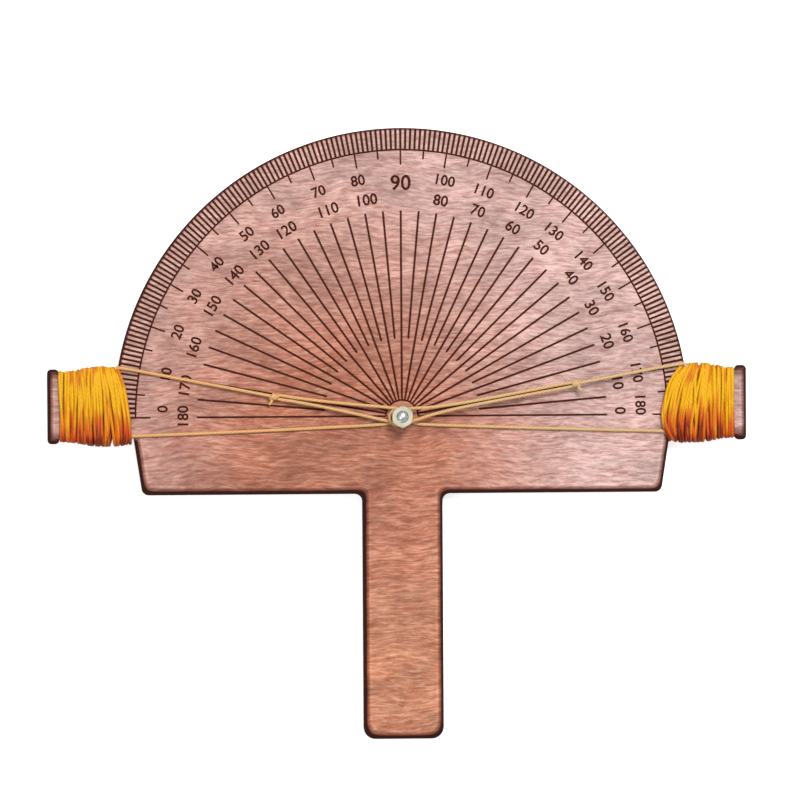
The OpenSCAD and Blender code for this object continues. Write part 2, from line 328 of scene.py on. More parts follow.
def new_material(name):
    """A node material: returns it, its shader, and add_node for its own nodes."""
    material = bpy.data.materials.new(name)
    material.use_nodes = True
    return material, material.node_tree.nodes["Principled BSDF"], partial(add_node, material)


def sway(add, place, scale, amount):
    """A place moved about by soft noise, by about a sixth of the amount along each axis."""
    noise = add("TexNoise", {"Vector": place, "Scale": scale, "Detail": 2.0}).outputs["Color"]
    centred = add("VectorMath", (noise, (0.5, 0.5, 0.5)), operation="SUBTRACT")
    return add("VectorMath", (centred, amount, place), operation="MULTIPLY_ADD")


def streaky(add, place, scale, detail, roughness):
    """Noise stretched into streaks; returns its value."""
    drawn = add("Mapping", {"Vector": place, "Scale": scale})
    noise = add("TexNoise", {"Vector": drawn, "Scale": 1.0, "Detail": detail, "Roughness": roughness})
    return noise.outputs["Fac"]


def veneer_figure(s, add, x, y, waved, grain, pores, clouds):
    """The veneer's colour: its tints from side to side, round the middle and down the handle, with dark and
    pale streaks in them, soft clouds and pores."""
    across = add("MapRange", (x, -75 * MM, 85 * MM), **SOFT)
    tint = add("Mix", {0: across, 6: opaque(s.left_tint), 7: opaque(s.right_tint)}, **BLEND)
    # The warm middle fades out 83 mm to the sides and 104 mm up and down.
    centre = add("Mapping", {"Vector": waved, "Location": (18 * MM, 16 * MM, 0.0)})
    centre = add("VectorMath", (centre, (12.0, 9.6, 0.0)), operation="MULTIPLY")
    ball = add("TexGradient", (centre,), gradient_type="SPHERICAL").outputs["Fac"]
    warm = add("MapRange", (ball, 0.0, 0.6, 0.0, 0.92))
    tint = add("Mix", {0: warm, 6: tint, 7: opaque(s.middle_tint)}, **BLEND)
    lower = add("MapRange", (y, -28 * MM, -72 * MM), **SOFT)
    tint = add("Mix", {0: lower, 6: tint, 7: opaque(s.handle_tint)}, **BLEND)

    dark = add("ValToRGB", (grain,), stops=(
        (0.30, (0.66, 0.47, 0.41, 1)), (0.44, (0.88, 0.78, 0.75, 1)), (0.56, (1.06, 1.05, 1.05, 1))))
    veneer = add("Mix", {0: 1.0, 6: tint, 7: dark}, **SHADE)
    streak = add("MapRange", (grain, 0.50, 0.76, 0.0, 0.6), **SOFT)
    pale = add("Mix", {0: 0.55, 6: opaque(s.figure), 7: tint}, **BLEND)
    veneer = add("Mix", {0: streak, 6: veneer, 7: pale}, **BLEND)
    cloud = add("MapRange", (clouds, 0.3, 0.7, 0.85, 1.22), **SOFT)
    veneer = add("Mix", {0: 1.0, 6: veneer, 7: cloud}, **SHADE)
    porous = add("MapRange", (pores, 0.34, 0.62, 0.76, 1.12), **SOFT)
    return add("Mix", {0: 1.0, 6: veneer, 7: porous}, **SHADE)


def depth_from_outline(add, radius, right, up, from_ear, from_tip):
    """How far a place of the face lies in from the outline of the disc, the apron, the handle or an ear."""
    side = add("Math", (right,), operation="ABSOLUTE")
    from_rim = add("Math", (DISC_R, radius), operation="SUBTRACT")
    above_base = add("Math", (up, DISC_OVERLAP))
    disc = add("Math", (from_rim, above_base), operation="MINIMUM")

    flank = add("Math", (up, APRON_SLOPE, APRON_HALF_W), operation="MULTIPLY_ADD")
    flank = add("Math", (flank, side), operation="SUBTRACT")
    above_apron = add("Math", (up, APRON_DROP))
    apron = add("Math", (above_apron, flank, ROUND_APRON), operation="SMOOTH_MIN")
    apron_top = add("Math", (APRON_RISE, up), operation="SUBTRACT")
    apron = add("Math", (apron, apron_top), operation="MINIMUM")

    from_edge = add("Math", (HANDLE_HALF_W, side), operation="SUBTRACT")
    above_end = add("Math", (up, HANDLE_DROP))
    handle = add("Math", (from_edge, above_end, ROUND_HANDLE), operation="SMOOTH_MIN")
    handle_top = add("Math", (-HANDLE_TOP_DROP, up), operation="SUBTRACT")
    handle = add("Math", (handle, handle_top), operation="MINIMUM")
    lower = add("Math", (apron, handle, ROUND_APRON), operation="SMOOTH_MAX")

    # The burnt band is wider on the straight edges than on the disc, so their distances count for less.
    lower = add("Math", (lower, 0.55), operation="MULTIPLY")
    ears = add("Math", (TIP_HALF_H, from_ear), operation="SUBTRACT")
    ears = add("Math", (ears, from_tip), operation="MINIMUM")
    ears = add("Math", (ears, 0.6), operation="MULTIPLY")
    upper = add("Math", (disc, ears), operation="MAXIMUM")
    return add("Math", (lower, upper), operation="MAXIMUM")


def beside_rays(add, turn, radius, period, wide, narrow):
    """How near a place lies to one of the rays that leave the pivot every so many degrees: 0 out of the wide
    distance, 1 within the narrow one."""
    share = add("Math", (turn, period), operation="DIVIDE")
    share = add("Math", (share, 0.5), operation="PINGPONG")
    off = add("Math", (share, math.radians(period)), operation="MULTIPLY")
    off = add("Math", (off, radius), operation="MULTIPLY")
    return add("MapRange", (off, wide, narrow), **SOFT)


def scorch_beside_lines(add, place, z, radius, up, band):
    """Where the beam scorched the wood beside its lines: a degree apart in the band of marks, five degrees
    apart in the fan of rays, and ten degrees apart where only the long rays reach."""
    level = add("VectorMath", (place, (-PIVOT.x, -PIVOT.y, 0.0)))
    along, over, _ = add("SeparateXYZ", (level,)).outputs
    turn = add("Math", (over, along), operation="ARCTAN2")
    turn = add("Math", (turn, 180 / math.pi), operation="MULTIPLY")
    rays = []
    for period, low in ((10.0, LONG_RAY_R), (5.0, SHORT_RAY_R)):
        ray = beside_rays(add, turn, radius, period, 0.48 * MM, 0.32 * MM)
        begun = add("MapRange", (radius, *low), **SOFT)
        rays.append(add("Math", (ray, begun), operation="MULTIPLY"))
    beside_ray = add("Math", rays, operation="MAXIMUM")
    for value, span in ((radius, FAN_R), (up, (-0.6 * MM, -0.4 * MM))):
        kept = add("MapRange", (value, *span), **SOFT)
        beside_ray = add("Math", (beside_ray, kept), operation="MULTIPLY")
    beside_mark = beside_rays(add, turn, radius, 1.0, 0.52 * MM, 0.34 * MM)
    beside_mark = add("Math", (beside_mark, band), operation="MULTIPLY")
    beside = add("Math", (beside_mark, beside_ray), operation="MAXIMUM")
    on_face = add("MapRange", (z, NECK_Z, NECK_Z + MM, 0.0, 0.75), **SOFT)
    return add("Math", (beside, on_face), operation="MULTIPLY")


def birch_plywood_stained(s):
    """Birch ply, laser cut and stained: reddish veneer with fine wavy figure across the board, and sanded
    shoulders that go from brown to char. It looks satin, pink at the sides and orange-brown in the middle."""
    m, shader, add = new_material("birch_plywood_stained")
    place = add("TexCoord").outputs["Object"]
    x, y, z = add("SeparateXYZ", (place,)).outputs

    # The figure waves by about 1.5 mm over 35 mm, and by 0.2 mm over 8 mm.
    waved = sway(add, place, 28.0, (0.0, 9 * MM, 0.0))
    waved = sway(add, waved, 120.0, (1.5 * MM, 1.3 * MM, 0.0))
    # Streaks 0.9 mm wide and 6 mm long, finer ones of 0.6 mm by 3 mm, and clouds of some 20 mm.
    grain = streaky(add, waved, (175.0, 1150.0, 175.0), 4.0, 0.66)
    pores = streaky(add, waved, (330.0, 1700.0, 330.0), 2.0, 0.65)
    clouds = streaky(add, waved, (40.0, 85.0, 40.0), 3.0, 0.55)
    veneer = veneer_figure(s, add, x, y, waved, grain, pores, clouds)

    # Distances are taken at a point a little left and down of the place, which makes the burnt band wider on
    # the left and lower edges: painted shade on the edges that face away from the light.
    aside = add("VectorMath", (place, (-PIVOT.x - PAINTED_SHADE_DRIFT, -PIVOT.y - PAINTED_SHADE_DRIFT, 0.0)))
    aside = add("VectorMath", (aside, (1.0, 1.0, 0.0)), operation="MULTIPLY")
    radius = add("VectorMath", (aside,), operation="LENGTH").outputs["Value"]
    right, up, _ = add("SeparateXYZ", (aside,)).outputs
    from_ear = add("Math", (up, EAR_LIFT), operation="SUBTRACT")
    from_ear = add("Math", (from_ear,), operation="ABSOLUTE")
    from_tip = add("Math", (right, PIVOT.x))
    from_tip = add("Math", (from_tip,), operation="ABSOLUTE")
    from_tip = add("Math", (REACH, from_tip), operation="SUBTRACT")
    inside = depth_from_outline(add, radius, right, up, from_ear, from_tip)
    inside = add("Math", (clouds, 0.3 * MM, inside), operation="MULTIPLY_ADD")

    # The band of degree marks is sanded paler, and the corners of the ears' tips are darker brown.
    band = add("MapRange", (radius, *BAND_R), **SOFT)
    for value, span in ((up, (-MM, MM)), (radius, (DISC_R + 0.2 * MM, DISC_R))):
        kept = add("MapRange", (value, *span), **SOFT)
        band = add("Math", (band, kept), operation="MULTIPLY")
    paler = add("Math", (band, 0.12), operation="MULTIPLY")
    veneer = add("Mix", {0: paler, 6: veneer, 7: opaque(s.figure)}, **BLEND)
    tip = add("MapRange", (from_tip, 10 * MM, 6 * MM, 0.0, 0.85), **SOFT)
    corner = add("MapRange", (from_ear, 7.2 * MM, 11.5 * MM), **SOFT)
    darker_corners = add("Math", (tip, corner), operation="MULTIPLY")
    veneer = add("Mix", {0: darker_corners, 6: veneer, 7: opaque(s.sanded)}, **BLEND)
    scorch = scorch_beside_lines(add, place, z, radius, up, band)
    veneer = add("Mix", {0: scorch, 6: veneer, 7: opaque(s.engraving)}, **BLEND)

    # From the outline inwards: brown, then a pale line that is a painted highlight on the shoulder of the
    # rounding, then plain veneer.
    edge_band_and_highlight = add("Math", (inside, EDGE_BAND_W), operation="DIVIDE")
    edge_band_and_highlight = add("ValToRGB", (edge_band_and_highlight,), stops=(
        (0.34, (0.40, 0.26, 0.22, 1)), (0.50, (0.72, 0.60, 0.57, 1)), (0.56, (1.08, 1.10, 1.10, 1)),
        (0.62, (1.08, 1.10, 1.10, 1)), (0.74, (1, 1, 1, 1))))
    veneer = add("Mix", {0: 1.0, 6: veneer, 7: edge_band_and_highlight}, **SHADE)

    # The edge itself is charred, and shows its plies.
    depth = add("Math", (z, NECK_Z), operation="SUBTRACT")
    depth = add("Math", (depth,), operation="ABSOLUTE")
    depth = add("Math", (NECK_HALF_T, depth), operation="SUBTRACT")
    plies = add("Math", (depth, math.tau / PLY), operation="MULTIPLY")
    plies = add("Math", (plies,), operation="SINE")
    plies = add("MapRange", (plies, -1.0, 1.0, 0.7, 1.5), **SOFT)
    burnt = add("Mix", {0: 1.0, 6: opaque(s.charred), 7: plies}, **SHADE)
    char = add("MapRange", (inside, 0.98 * MM, 0.62 * MM), **SOFT)
    colour = add("Mix", {0: char, 6: veneer, 7: burnt}, **BLEND)

    satin = add("MapRange", (grain, 0.3, 0.7, 0.46, 0.62), **SOFT)
    matt = add("MapRange", (char, 0.0, 1.0, 0.0, 0.85), **SOFT)
    rough = add("Math", (satin, matt), operation="MAXIMUM")
    height = add("Math", (grain, pores))
    bump = add("Bump", {"Height": height, "Strength": 0.12, "Distance": 0.04 * MM})
    fill(shader, {"Base Color": colour, "Roughness": rough, "Specular IOR Level": 0.2, "Normal": bump})
    return m


def laser_engraved_char(s):
    """Wood burnt by a laser: a matt red-brown groove, a little uneven where the beam met hard grain."""
    m, shader, add = new_material("laser_engraved_char")
    place = add("TexCoord").outputs["Object"]
    # Patches 1 mm wide and 7 mm long.
    patch = streaky(add, place, (150.0, 900.0, 150.0), 2.0, 0.5)
    share = add("MapRange", (patch, 0.35, 0.7, 0.0, 0.35))
    colour = add("Mix", {0: share, 6: opaque(s.engraving), 7: opaque(s.sanded)}, **BLEND)
    fill(shader, {"Base Color": colour, "Roughness": 0.85, "Specular IOR Level": 0.1})
    return m


def zinc_plated_steel(name, tint):
    """Bright zinc plating on turned steel: a pale, slightly warm mirror with fine scuffs from the spanner."""
    m, shader, add = new_material(name)
    place = add("TexCoord").outputs["Object"]
    # Scuffs about 0.5 mm apart, and a haze in patches of some 2 mm.
    scuffs = add("TexNoise", {"Vector": place, "Scale": 2200.0, "Detail": 3.0})
    haze = add("TexNoise", {"Vector": place, "Scale": 420.0, "Detail": 2.0})
    rough = add("MapRange", (haze, 0.3, 0.7, 0.2, 0.36))
    dull = add("MapRange", (haze, 0.3, 0.7, 1.0, 0.9))
    colour = add("Mix", {0: 1.0, 6: opaque(tint), 7: dull}, **SHADE)
    bump = add("Bump", {"Height": scuffs, "Strength": 0.2, "Distance": 0.02 * MM})
    fill(shader, {"Base Color": colour, "Metallic": 1.0, "Roughness": rough, "Normal": bump})
    return m


def twisted_polyester(name, axis, low, high, groove, colours):
    """Twisted polyester cord: silky golden plies, with shade painted darker in the grooves between them. The
    colours go along an axis of the frame; on the coil they paint shade, darker towards the lower side and a
    little at the top. u goes round the plies and v is the length in centimetres."""
    m, shader, add = new_material(name)
    uv = add("UVMap", uv_map="along").outputs[0]
    u, v, _ = add("SeparateXYZ", (uv,)).outputs
    place = add("SeparateXYZ", (add("TexCoord").outputs["Object"],)).outputs[axis]
    # Fibres about 0.1 mm wide, drawn along each ply, and dye that takes differently along the length.
    fibre = streaky(add, uv, (40.0, 3.0, 1.0), 2.0, 0.5)
    dye = add("TexNoise", {"W": v, "Scale": 0.45, "Detail": 2.0}, noise_dimensions="1D").outputs["Fac"]
    dye = add("MapRange", (dye, 0.25, 0.75, -0.22, 0.22), **SOFT)
    # Along the axis the colour stops paint shade on the coil: darker towards the lower side, and a little
    # darker at the top. The dye's noise moves them along the cord.
    height = add("MapRange", (place, low, high))
    height = add("Math", (height, dye))
    colour = add("ValToRGB", (height,), stops=colours)
    # Three plies, each with a groove on either side, where shade is painted darker.
    ply = add("Math", (u, 6 * math.pi), operation="MULTIPLY")
    ply = add("Math", (ply,), operation="COSINE")
    between = add("MapRange", (ply, -1.0, 0.0), **SOFT)
    between = add("Mix", {0: between, 6: opaque(groove), 7: (1, 1, 1, 1)}, **BLEND)
    colour = add("Mix", {0: 1.0, 6: colour, 7: between}, **SHADE)
    sheen = add("MapRange", (fibre, 0.3, 0.7, 0.88, 1.1), **SOFT)
    colour = add("Mix", {0: 1.0, 6: colour, 7: sheen}, **SHADE)
    bump = add("Bump", {"Height": fibre, "Strength": 0.3, "Distance": 0.04 * MM})
    fill(shader, {"Base Color": colour, "Roughness": 0.55, "Specular IOR Level": 0.3, "Normal": bump})
    return m


# Cord helpers

def route(points, step):
    """Smooth line through the given points, in metres, with rings about a step apart."""
    p = np.asarray(points, float)
    t = np.concatenate([[0], np.cumsum(np.linalg.norm(np.diff(p, axis=0), axis=1))])
    slope = np.empty_like(p)
    slope[1:-1] = (p[2:] - p[:-2]) / (t[2:] - t[:-2])[:, None]
    slope[0], slope[-1] = (p[1] - p[0]) / (t[1] - t[0]), (p[-1] - p[-2]) / (t[-1] - t[-2])
    s = np.linspace(0, t[-1], math.ceil(t[-1] / step) + 1)
    i = np.clip(np.searchsorted(t, s, side="right") - 1, 0, len(t) - 2)
    h = (t[i + 1] - t[i])[:, None]
    u = (s - t[i])[:, None] / h
    return ((2 * u**3 - 3 * u**2 + 1) * p[i] + (u**3 - 2 * u**2 + u) * h * slope[i]
            + (3 * u**2 - 2 * u**3) * p[i + 1] + (u**3 - u**2) * h * slope[i + 1])


def twisted_cord(name, line, diameter, lay, material, sides=12, reference=(0, 0, 1), reach=None):
    """Cord of three twisted plies along a line, with rounded ends. reach is each ring's length along the cord
    where that isn't the length of the line."""
    n = len(line)
    ahead = np.gradient(line, axis=0)
    ahead /= np.linalg.norm(ahead, axis=1)[:, None]
    across = np.cross(ahead, np.asarray(reference, float))
    across /= np.linalg.norm(across, axis=1)[:, None]
    up = np.cross(across, ahead)
    if reach is None:
        reach = np.concatenate([[0], np.cumsum(np.linalg.norm(np.diff(line, axis=0), axis=1))])
    size = np.ones(n)
    size[:3] = (0.35, 0.72, 0.92)
    size[-3:] = size[2::-1]
    # Each ring has three low ridges, one a ply, and turns with the lay.
    k = np.arange(sides)
    ridges = 0.97 + 0.05 * np.cos(6 * np.pi * k / sides)
    angle = 2 * np.pi * (k / sides)[None, :] + (2 * np.pi * reach / lay)[:, None]
    radius = diameter / 2 * ridges[None, :] * size[:, None]
    rings = (line[:, None, :] + (radius * np.cos(angle))[:, :, None] * across[:, None, :]
             + (radius * np.sin(angle))[:, :, None] * up[:, None, :]).reshape(-1, 3)
    a = (np.arange(n - 1) * sides)[:, None] + k[None, :]
    b = (np.arange(n - 1) * sides)[:, None] + ((k + 1) % sides)[None, :]
    walls = np.stack([a, a + sides, b + sides, b], axis=2).reshape(-1, 4)
    faces = walls.tolist() + [k.tolist(), ((n - 1) * sides + k[::-1]).tolist()]
    mesh = bpy.data.meshes.new(name)
    mesh.from_pydata(rings.tolist(), [], faces)
    # Round the ring u goes from 0 to 1, and along the cord v counts centimetres.
    u0, u1 = (k / sides)[None, :] + 0 * a, ((k + 1) / sides)[None, :] + 0 * a
    v0, v1 = reach[:-1, None] * 100 + 0 * a, reach[1:, None] * 100 + 0 * a
    uv = np.stack([u0, v0, u0, v1, u1, v1, u1, v0], axis=2).reshape(-1)
    uv = np.concatenate([uv, np.zeros(4 * sides)])
    layer = mesh.uv_layers.new(name="along")
    layer.uv.foreach_set("vector", uv.astype(np.float32))
    mesh.polygons.foreach_set("use_smooth", np.ones(len(faces), bool))
    mesh.materials.append(material)
    mesh.update()
    o = bpy.data.objects.new(name, mesh)
    bpy.context.scene.collection.objects.link(o)
    return o


def from_pivot(points):
    """Points given in millimetres from the pivot, with their height above the floor, in the frame."""
    return np.asarray(points, float) * MM + [PIVOT.x, PIVOT.y, 0]


def arc(radius, angles):
    """Places at a radius and at these angles in degrees."""
    return [(radius * math.cos(math.radians(a)), radius * math.sin(math.radians(a))) for a in angles]


def turned(points, angle):
    """Points turned about the pivot's axis by an angle in degrees."""
    c, s = math.cos(math.radians(angle)), math.sin(math.radians(angle))
    return [(x * c - y * s, x * s + y * c, z) for x, y, z in points]


# Operators

class PROTRACTOR_OT_stage(Operator):
    """Camera over the board, soft lamps and a white floor"""
    bl_idname = "protractor.stage"
    bl_label = "Stage"

    def execute(self, context):
        s = context.scene.protractor_stage
        scene = context.scene
        scene.view_settings.view_transform = "Standard"
        # The middle of the picture is a little above and left of the pivot, as in the photograph.
        aim = Vector((PIVOT.x - 0.65 * MM, PIVOT.y + 5.6 * MM, FACE_Z))
        back = Vector((-math.tan(s.yaw), math.tan(s.pitch), 1)).normalized()
        deselect()
        bpy.ops.object.camera_add(location=aim + back * s.far)
        camera = context.object
        camera.name = "camera"
        right = Vector((0, 1, 0)).cross(back).normalized()
        looking = Matrix((right, back.cross(right), back)).transposed()
        camera.rotation_euler = (looking @ Matrix.Rotation(-s.roll, 3, "Z")).to_euler()
        camera.data.lens = camera.data.sensor_width * s.far / s.seen
        camera.data.clip_start, camera.data.clip_end = 0.05, 20
        scene.camera = camera

        self.lamp("key", (0.30, 0.62, 1.35), 0.4, 18.0)
        self.lamp("fill", (-0.70, -0.30, 1.20), 0.9, 3.0)
        self.lamp("overhead", (0.04, -0.05, 1.70), 0.7, 0.8)

        # The world lights the object by its own strength, and the camera sees it as white.
        world = bpy.data.worlds.new("studio")
        world.use_nodes = True
        scene.world = world
        strength, white = 0.42, 1.0
        seen = add_node(world, "LightPath").outputs["Is Camera Ray"]
        shown = add_node(world, "Math", (seen, white - strength, strength), operation="MULTIPLY_ADD")
        fill(world.node_tree.nodes["Background"], {"Color": (1, 1, 1, 1), "Strength": shown})

        deselect()
        bpy.ops.mesh.primitive_plane_add(size=6, location=(0, 0, -0.2 * MM))
        floor = context.object
        floor.name = "floor"
        apply_place(floor)
        floor.data.materials.append(self.pale_card(s))
        return {"FINISHED"}

    def lamp(self, name, place, size, power):
        deselect()
        bpy.ops.object.light_add(type="AREA", location=place)
        lamp = bpy.context.object
        lamp.name = name
        lamp.data.size, lamp.data.energy = size, power
        lamp.rotation_euler = (-Vector(place)).to_track_quat("-Z", "Y").to_euler()

    def pale_card(self, s):
        """Plain pale card, which the camera sees as white with the object's shadow left on it."""
        m, shader, add = new_material("pale_card")
        paths = add("LightPath").outputs
        seen = add("Math", (paths["Is Camera Ray"], paths["Is Glossy Ray"]), operation="MAXIMUM")
        seen = add("Math", (seen, paths["Is Transmission Ray"]), operation="MAXIMUM")
        glow = add("Math", (seen, 0.66), operation="MULTIPLY")
        fill(shader, {"Base Color": opaque(s.floor), "Roughness": 0.9, "Specular IOR Level": 0.0,
                      "Emission Color": (1, 1, 1, 1), "Emission Strength": glow})
        return m


class PROTRACTOR_OT_base_cord(Operator):
    """Cord that hangs on the upper side of the screw and runs down to both coils"""
    bl_idname = "protractor.base_cord"
    bl_label = "Base cord"

    def execute(self, context):
        s = context.scene.protractor_cord
        # Points in millimetres from the pivot, from the left coil round the screw to the right coil.
        z, bend_r = FACE_Z / MM + 0.95, 2.95
        left = [(-96.2, -6.5, z + 0.25), (-94.1, -6.3, z), (-75, -5.7, z), (-50, -4.8, z), (-25, -3.7, z),
                (-8, -2.9, z), (-4.4, -2.4, z)]
        bend = [(x, y, z) for x, y in arc(bend_r, range(205, -26, -25))]
        right = [(4.4, -2.4, z), (8, -2.9, z), (25, -3.6, z), (50, -4.5, z), (75, -5.3, z), (91.7, -5.8, z),
                 (94.0, -6.0, z + 0.25)]
        line = route(from_pivot(left + bend + right), RUN_STEP)
        o = twisted_cord("base_cord_twisted", line, s.cord_d, s.lay, cord_material("run"))
        finish_piece(o, "frame", "base_cord")
        return {"FINISHED"}


class PROTRACTOR_OT_strings(Operator):
    """The two strings that swing: each has its eye round the screw, its knot, and its line to the coil"""
    bl_idname = "protractor.strings"
    bl_label = "Swinging strings"

    def execute(self, context):
        s = context.scene.protractor_cord
        face = FACE_Z / MM
        self.string(
            s, "left", angle=170.8, level=face + 2.55, reach=44.7, slack=0.4, tail=62, sign=-1,
            gap=[(38, 0.68), (27, 1.0), (16, 1.6), (7, 2.2)],
            points=[(-60, 10.2, face + 1.75), (-78, 13.7, face + 1.4), (-93.5, 16.7, face + 0.95),
                    (-97.2, 17.25, face + 0.66)],
            end_r=100.1, end_angle=169.9, end_z=face,
            tucked=[(-101.3, 8.4, face + 0.7), (-101.4, 11.0, face + 0.5)])
        self.string(
            s, "right", angle=10.3, level=face + 4.15, reach=61.2, slack=1.7, tail=-58, sign=1,
            gap=[(45, 0.68), (28, 0.68), (18, 0.85), (9.2, 1.4), (4.9, 2.0)],
            points=[(75, 13.7, face + 3.1), (86, 15.75, face + 2.5), (93, 16.95, face + 2.0)],
            end_r=99.6, end_angle=10.2, end_z=face + 1.4,
            tucked=[(100.5, 8.4, face + 1.0), (100.7, 11.0, face + 1.3)])
        return {"FINISHED"}

    def string(self, s, side, angle, level, reach, slack, tail, sign, gap, points, end_r, end_angle, end_z,
               tucked):
        """One string, in millimetres and degrees. reach is the knot's distance from the pivot. gap lists
        half the distance between the eye's strands at distances from the pivot."""
        material = cord_material("run")
        body = side + "_string"
        knot_half, drop, eye_r = 1.7, 0.5, 2.7

        # Eye: in from the knot, round the screw, and back out to the knot.
        start, root = reach - 0.3 * knot_half, 0.29
        strand = [(reach - knot_half - 0.1, 0.68), *gap]
        bend = [(x - slack, y) for x, y in arc(eye_r, range(70, 291, 20))]
        flat = [(start, root), *strand, *bend, *[(x, -y) for x, y in reversed(strand)], (start, -root)]
        eye = turned([(x, y, level - drop * max(x, 0) / reach) for x, y in flat], angle)
        line = route(from_pivot(eye), RUN_STEP)
        eye = twisted_cord(side + "_eye_twisted", line, s.cord_d, s.lay, material)
        finish_piece(eye, body, side + "_eye")

        # Knot: three turns round the cords, side by side, and the trimmed tail, of cord pulled thin.
        z = level - drop
        wraps, wrap_r, wrap_pitch, pulled = 3, 0.8, 0.8, 0.88
        turn = [math.tau * i / 12 for i in range(12 * wraps + 1)]
        wound = [(1.2 - wrap_pitch * w / math.tau + 0.4 * math.cos(w + 0.6), wrap_r * math.cos(w),
                  z + wrap_r * math.sin(w)) for w in turn]
        tail_x, tail_y = arc(1, [tail])[0]
        end = [(d * tail_x - 0.2, d * tail_y, z + 0.35 - 0.06 * d) for d in (3.7, 2.7, 1.9)]
        knot = [(x + reach, y, h) for x, y, h in [*end, *wound]]
        line = route(from_pivot(turned(knot, angle)), KNOT_STEP)
        knot = twisted_cord(
            side + "_knot_tied", line, s.cord_d * pulled, s.lay, material, reference=(0.3, 0.2, 1))
        finish_piece(knot, body, side + "_knot")

        # Line: out of the knot, over the scale to the coil's shoulder, and round into the feed, which pays
        # out along the rim as the string swings, and back under the coil's turns.
        radial = Vector(arc(1, [end_angle])[0])
        away = Vector((-radial.y, radial.x)) * sign
        feed_r = end_r + 0.5
        shoulder = [radial * r - away * t for r, t in ((end_r, 0), (end_r + 0.3, 0.25), (feed_r - 0.05, 0.8))]
        feed_start, feed_end = ((*(radial * feed_r - away * t), end_z) for t in (3.9, 1.5))
        out = turned([(reach - 0.4, 0, z), (reach + knot_half + 0.1, 0, z)], angle)
        head = route(from_pivot([*out, *points, *[(*p, end_z) for p in shoulder], feed_end]), RUN_STEP)
        back = route(from_pivot([feed_start, *reversed(tucked)]), RUN_STEP)

        # The feed's rings lie at the inverse of a smoothstep of their place, so that a turn by that
        # smoothstep brings them out evenly along the rim.
        rings = 361
        even = np.linspace(1, 0, rings)
        share = 0.5 - np.sin(np.arcsin(1 - 2 * even) / 3)
        a, b = from_pivot([feed_start])[0], from_pivot([feed_end])[0]
        feed = a + share[:, None] * (b - a)
        line = np.concatenate([head, feed[1:], back[1:]])
        steps = np.linalg.norm(np.diff(line, axis=0), axis=1)
        steps[len(head) - 1:len(head) + rings - 2] = feed_r * MM * SWING / (rings - 1)
        long = np.concatenate([[0], np.cumsum(steps)])
        o = twisted_cord(side + "_line_twisted", line, s.cord_d, s.lay, material, reach=long)
        finish_piece(o, None, side + "_line")
        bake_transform(o)


